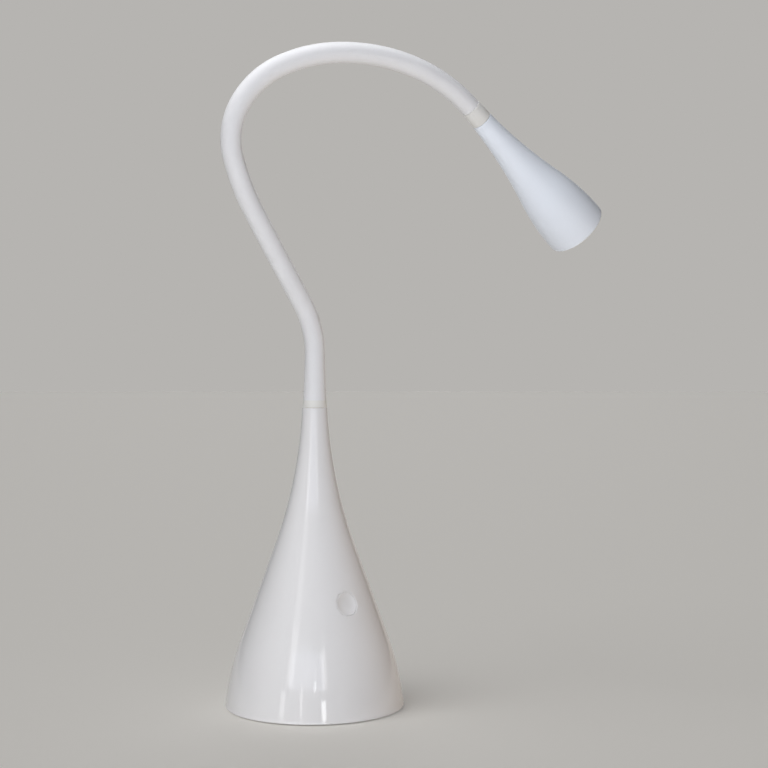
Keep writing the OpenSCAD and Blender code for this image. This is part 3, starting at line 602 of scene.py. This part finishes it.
dress(sink_aluminium, "heat_sink")
dress(zinc_plate, "led_board_screws")

# ---- Floor and light ----
# A plain pale floor before a plain pale sky. The lamp is lit by two soft glows in the sky, by
# panels behind the camera that draw the bright lines in the gloss, and by soft boxes.
FLOOR_RADIUS = 40
PANEL_DISTANCE = 1.3
FOOT_LEVEL = 0.02
THROAT_LEVEL = 0.19

floor_paint = grained("matt pale floor paint", 300, 0.00005, 0.05, Base_Color=linear("E3E1DD"),
                      Roughness=0.7, IOR=1.5, Emission_Color=linear("F1EFEC"), Emission_Strength=0.16)
bm = bmesh.new()
bmesh.ops.create_circle(bm, cap_ends=True, segments=96, radius=FLOOR_RADIUS)
floor = new_piece("floor", bm)
floor.data.materials.append(floor_paint)


def seen_from_lamp(azimuth, elevation):
    """From the lamp: the direction at an angle to the right of the camera and an angle up."""
    side, up = math.radians(azimuth), math.radians(elevation)
    level = to_right * math.sin(side) - away * math.cos(side)
    return level * math.cos(up) + Vector((0, 0, math.sin(up)))


world = bpy.data.worlds.new("studio")
bpy.context.scene.world = world
world.use_nodes = True
ray = add(world, "ShaderNodeTexCoord", {})
glow_at = [(-36, 6, 65, 0.4), (180, 8, 32, 1.0)]
glows = []
for azimuth, elevation, reach, strength in glow_at:
    nearness = add(world, "ShaderNodeVectorMath", {"operation": "DOT_PRODUCT"}, [(0, ray, "Generated")])
    nearness.inputs[1].default_value = seen_from_lamp(azimuth, elevation)
    edge = math.cos(math.radians(reach))
    level = add(world, "ShaderNodeMapRange",
                {"interpolation_type": "SMOOTHSTEP", "From Min": edge, "To Max": strength},
                [("Value", nearness, "Value")])
    glows.append(level)
both = add(world, "ShaderNodeMath", {"operation": "ADD"},
           [(0, glows[0], "Result"), (1, glows[1], "Result")])
glow = world.node_tree.nodes["Background"]
glow.inputs["Color"].default_value = linear("FFFFFF")
world.node_tree.links.new(both.outputs["Value"], glow.inputs["Strength"])
# The camera sees a plain sky instead of the glows.
plain_sky = add(world, "ShaderNodeBackground", {"Color": linear("B6B4B1")})
seen = add(world, "ShaderNodeLightPath", {})
sky = add(world, "ShaderNodeMixShader", {}, [("Fac", seen, "Is Camera Ray"), (1, glow, "Background"),
                                             (2, plain_sky, "Background")])
world.node_tree.links.new(sky.outputs["Shader"], world.node_tree.nodes["World Output"].inputs["Surface"])

# A wide sun lights the floor alone, evenly, with the lamp's soft shadow.
floor_sun = bpy.data.lights.new("floor sun", "SUN")
floor_sun.energy, floor_sun.angle = 1.25, math.radians(50)
floor_sun.color = linear("FFFDFA")[:3]
sun_stand = bpy.data.objects.new("floor sun", floor_sun)
bpy.context.scene.collection.objects.link(sun_stand)
sun_stand.rotation_euler = (-seen_from_lamp(-50, 58)).to_track_quat("-Z", "Y").to_euler()
floor_only = bpy.data.collections.new("the floor")
floor_only.objects.link(floor)
sun_stand.light_linking.receiver_collection = floor_only

# The panels light the lamp alone, so none of them leaves its own patch on the floor.
lamp_only = bpy.data.collections.new("all but the floor")
lamp_only.objects.link(floor)
lamp_only.collection_objects[0].light_linking.link_state = "EXCLUDE"


def light_panel(name, azimuth, distance, height, width, tall, watts, colour):
    """An upright panel at an angle to the right of the camera, facing the lamp's axis."""
    light = bpy.data.lights.new(name, "AREA")
    light.shape = "RECTANGLE"
    light.size, light.size_y, light.energy = width, tall, watts
    light.color = linear(colour)[:3]
    stand = bpy.data.objects.new(name, light)
    bpy.context.scene.collection.objects.link(stand)
    stand.location = seen_from_lamp(azimuth, 0) * distance + Vector((0, 0, height))
    stand.rotation_euler = (-seen_from_lamp(azimuth, 0)).to_track_quat("-Z", "Y").to_euler()
    stand.visible_camera = False
    stand.light_linking.receiver_collection = lamp_only
    return stand


def panel(name, azimuth, level, low, high, width, glare, colour="FFFFFF"):
    """A panel that the gloss reflects, between two angles above a level on the lamp's axis."""
    bottom, top = (level + PANEL_DISTANCE * math.tan(math.radians(angle)) for angle in (low, high))
    watts = glare * math.pi * width * (top - bottom)
    light_panel(name, azimuth, PANEL_DISTANCE, (bottom + top) / 2, width, top - bottom, watts, colour)


panel("window", -8, THROAT_LEVEL, 5.5, 23, 1.15, 1.5, "E6EDFF")
panel("window's left edge", -31, THROAT_LEVEL, 5.5, 23, 0.22, 1.8)
panel("window's right edge", 16, THROAT_LEVEL, 5.5, 23, 0.16, 2.2)
panel("high left panel", -30, 0.10, 26, 38, 0.30, 0.9)
panel("foot line 1", -38.6, FOOT_LEVEL, 0, 10, 0.14, 2.3)
panel("foot line 2", -14, FOOT_LEVEL, 1, 13, 0.06, 3.0)
panel("foot line 3", 3, FOOT_LEVEL, 12, 16, 0.06, 4.0)
panel("foot line 4", 14, FOOT_LEVEL, 0, 8, 0.13, 6.5)

# The soft boxes only shade: the gloss doesn't reflect them. One lights the head alone.
top_box = light_panel("top box", -60, 0.15, 1.0, 0.3, 0.3, 4.0, "FFFFFF")
top_box.rotation_euler = (0, 0, 0)
head_box = light_panel("head box", -20, 0.50, 0.28, 0.4, 0.3, 0.66, "F2F6FF")
warm_box = light_panel("warm box", 108, 0.45, 0.10, 0.4, 0.2, 0.46, "FFE3C6")
upper_box = light_panel("upper box", 28, 0.50, 0.44, 0.5, 0.4, 0.36, "F2F6FF")
low_box = light_panel("low box", -10, 0.60, 0.12, 0.4, 0.24, 0.74, "FFFFFF")
back_box = light_panel("back box", 180, 1.2, 0.40, 0.9, 0.6, 2.6, "FFFFFF")
for soft_box in (top_box, head_box, warm_box, upper_box, low_box, back_box):
    soft_box.visible_glossy = False
head_pieces = bpy.data.collections.new("head pieces")
for piece in (head_shell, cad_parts["lens"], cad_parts["lens_bezel"]):
    head_pieces.objects.link(piece)
head_box.light_linking.receiver_collection = head_pieces
